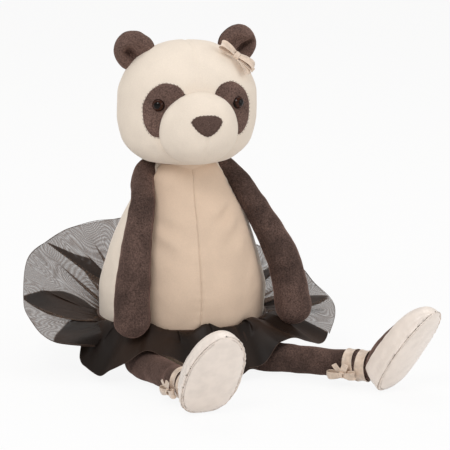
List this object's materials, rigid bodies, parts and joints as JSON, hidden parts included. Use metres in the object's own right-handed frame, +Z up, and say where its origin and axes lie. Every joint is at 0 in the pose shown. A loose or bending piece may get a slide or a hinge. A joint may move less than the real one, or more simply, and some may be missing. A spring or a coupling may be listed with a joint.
{
  "type": "plush panda",
  "caption": "Seated plush panda in a sheer gathered skirt and satin ballet shoes, with a ribbon bow at one ear, floppy arms and legs, and a weighted seat.",
  "frame": {"origin": "middle of the flat face that the toy sits on", "axes": "+Z up, the toy looks along -Y, its left side is +X"},
  "size_m": [0.2197, 0.2539, 0.207],
  "materials": {
    "cream_plush": "short-pile cream velour",
    "beige_plush": "short-pile beige velour",
    "dark_plush": "short-pile dark brown velour",
    "nose_velour": "shaved velour, edge stitched",
    "shoe_satin": "champagne polyester satin",
    "ribbon_satin": "double-faced satin ribbon",
    "organza": "sheer dark organza",
    "stuffing": "polyester fibre filling",
    "pouch_cloth": "plain woven polyester",
    "bean_pellets": "polyethylene pellets",
    "eye_plastic": "polished moulded plastic",
    "washer_plastic": "moulded plastic"
  },
  "bodies": {
    "torso": {"back_panel_left": "cream_plush", "back_panel_right": "cream_plush", "bean_pellets": "bean_pellets", "bean_pouch": "pouch_cloth", "belly_panel_left": "beige_plush", "belly_panel_right": "beige_plush", "seat_panel": "cream_plush", "torso_stuffing": "stuffing", "tutu_back_inner": "organza", "tutu_back_outer": "organza", "tutu_flap_centre": "organza", "tutu_flap_left": "organza", "tutu_flap_right": "organza", "tutu_waistband": "ribbon_satin"},
    "neck": {"neck_gusset": "cream_plush", "neck_stuffing": "stuffing"},
    "head": {"ear_back_left": "dark_plush", "ear_back_right": "dark_plush", "ear_bow_knot": "ribbon_satin", "ear_bow_loops": "ribbon_satin", "ear_bow_tails": "ribbon_satin", "ear_front_left": "dark_plush", "ear_front_right": "dark_plush", "eye_left": "eye_plastic", "eye_patch_left": "dark_plush", "eye_patch_right": "dark_plush", "eye_right": "eye_plastic", "eye_washer_left": "washer_plastic", "eye_washer_right": "washer_plastic", "head_cover_left": "cream_plush", "head_cover_right": "cream_plush", "head_stuffing": "stuffing", "muzzle_cover": "cream_plush", "nose": "nose_velour"},
    "shoulder_right": {"shoulder_knot_right": "stuffing"},
    "arm_right": {"arm_cover_right": "dark_plush", "arm_stuffing_right": "stuffing"},
    "shoulder_left": {"shoulder_knot_left": "stuffing"},
    "arm_left": {"arm_cover_left": "dark_plush", "arm_stuffing_left": "stuffing"},
    "leg_right": {"ankle_bow_right": "ribbon_satin", "ankle_ribbon_lower_right": "ribbon_satin", "ankle_ribbon_upper_right": "ribbon_satin", "leg_cover_right": "dark_plush", "leg_stuffing_right": "stuffing"},
    "foot_right": {"foot_stuffing_right": "stuffing", "instep_cover_right": "dark_plush", "shoe_sole_right": "shoe_satin", "shoe_upper_right": "shoe_satin"},
    "leg_left": {"ankle_bow_left": "ribbon_satin", "ankle_ribbon_lower_left": "ribbon_satin", "ankle_ribbon_upper_left": "ribbon_satin", "leg_cover_left": "dark_plush", "leg_stuffing_left": "stuffing"},
    "foot_left": {"foot_stuffing_left": "stuffing", "instep_cover_left": "dark_plush", "shoe_sole_left": "shoe_satin", "shoe_upper_left": "shoe_satin"}
  },
  "joints": [
    {"name": "neck_turn", "type": "hinge", "parent": "torso", "child": "neck", "pos_m": [0, -0.014, 0.124], "axis": [0, 0, 1], "range_deg": [-35, 35], "stiffness_Nm_per_rad": 0.06},
    {"name": "head_nod", "type": "hinge", "parent": "neck", "child": "head", "pos_m": [0, -0.014, 0.124], "axis": [1, 0, 0], "range_deg": [-12, 10], "stiffness_Nm_per_rad": 0.3},
    {"name": "shoulder_right_spread", "type": "hinge", "parent": "torso", "child": "shoulder_right", "pos_m": [-0.0265, -0.015, 0.117], "axis": [0, 1, 0], "range_deg": [0, 46]},
    {"name": "arm_right_swing", "type": "hinge", "parent": "shoulder_right", "child": "arm_right", "pos_m": [-0.0265, -0.015, 0.117], "axis": [-1, 0, 0], "range_deg": [0, 32]},
    {"name": "leg_right_splay", "type": "hinge", "parent": "torso", "child": "leg_right", "pos_m": [-0.0345, -0.038, 0.0096], "axis": [0, 0, -1], "range_deg": [-2, 62], "deforming": ["tutu_flap_right", "tutu_flap_centre"]},
    {"name": "foot_right_point", "type": "hinge", "parent": "leg_right", "child": "foot_right", "pos_m": [-0.02027, -0.1187, 0.0126], "axis": [0.9877, 0.1564, 0], "range_deg": [-9, 12], "stiffness_Nm_per_rad": 0.06},
    {"name": "shoulder_left_spread", "type": "hinge", "parent": "torso", "child": "shoulder_left", "pos_m": [0.0265, -0.015, 0.117], "axis": [0, -1, 0], "range_deg": [0, 46]},
    {"name": "arm_left_swing", "type": "hinge", "parent": "shoulder_left", "child": "arm_left", "pos_m": [0.0265, -0.015, 0.117], "axis": [-1, 0, 0], "range_deg": [0, 32]},
    {"name": "leg_left_splay", "type": "hinge", "parent": "torso", "child": "leg_left", "pos_m": [0.0345, -0.038, 0.0096], "axis": [0, 0, 1], "range_deg": [-34, 35], "deforming": ["tutu_flap_left"]},
    {"name": "foot_left_point", "type": "hinge", "parent": "leg_left", "child": "foot_left", "pos_m": [0.09142, -0.09695, 0.0126], "axis": [0.7934, 0.6088, 0], "range_deg": [-9, 12], "stiffness_Nm_per_rad": 0.06}
  ]
}
